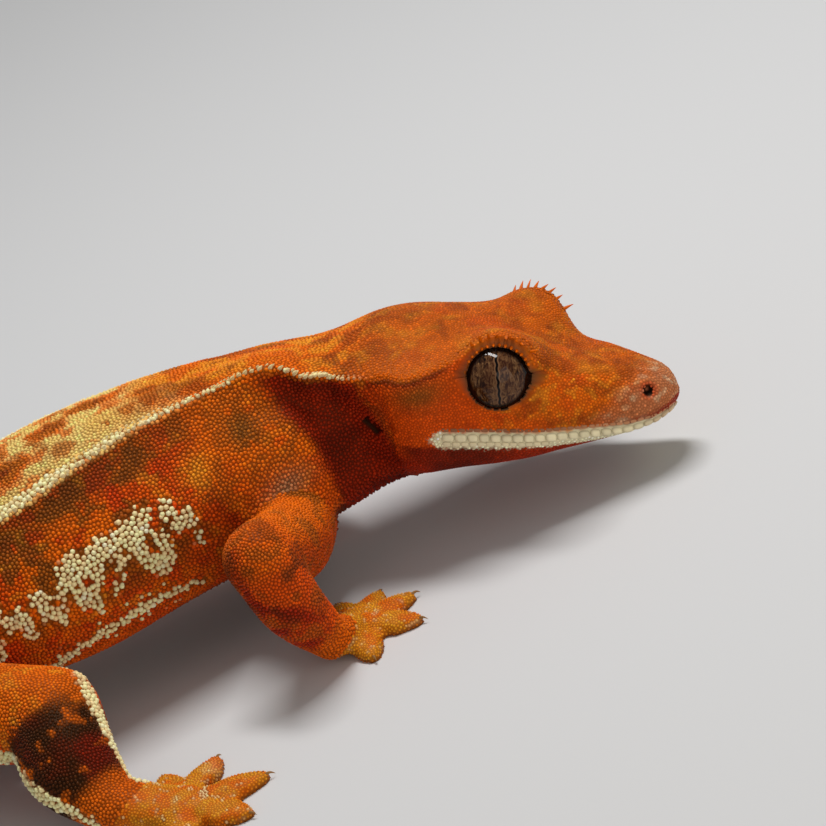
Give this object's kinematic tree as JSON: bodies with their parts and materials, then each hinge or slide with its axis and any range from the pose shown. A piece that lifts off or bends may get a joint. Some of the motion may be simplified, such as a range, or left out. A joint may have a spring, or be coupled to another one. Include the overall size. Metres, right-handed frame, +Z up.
{
  "type": "crested gecko",
  "caption": "Life-size still model of a crested gecko standing on flat soles, its head turned to its right, with an orange and cream beaded skin and crests of spines from brow to hip.",
  "frame": {"origin": "middle of the part's box, on the floor under the soles", "axes": "+X towards the snout along the trunk, +Y to the animal's left, +Z up"},
  "size_m": [0.1662, 0.0884, 0.0273],
  "materials": {
    "skin": "satin",
    "eye": "gloss"
  },
  "bodies": {
    "root": {"head": "skin", "jaw": "skin", "eye_right": "eye", "eye_left": "eye", "neck": "skin", "torso": "skin", "tail_base": "skin", "tail_middle": "skin", "tail_end": "skin", "upper_arm_right": "skin", "forearm_right": "skin", "hand_right": "skin", "upper_arm_left": "skin", "forearm_left": "skin", "hand_left": "skin", "thigh_right": "skin", "shin_right": "skin", "foot_right": "skin", "thigh_left": "skin", "shin_left": "skin", "foot_left": "skin"}
  },
  "joints": []
}
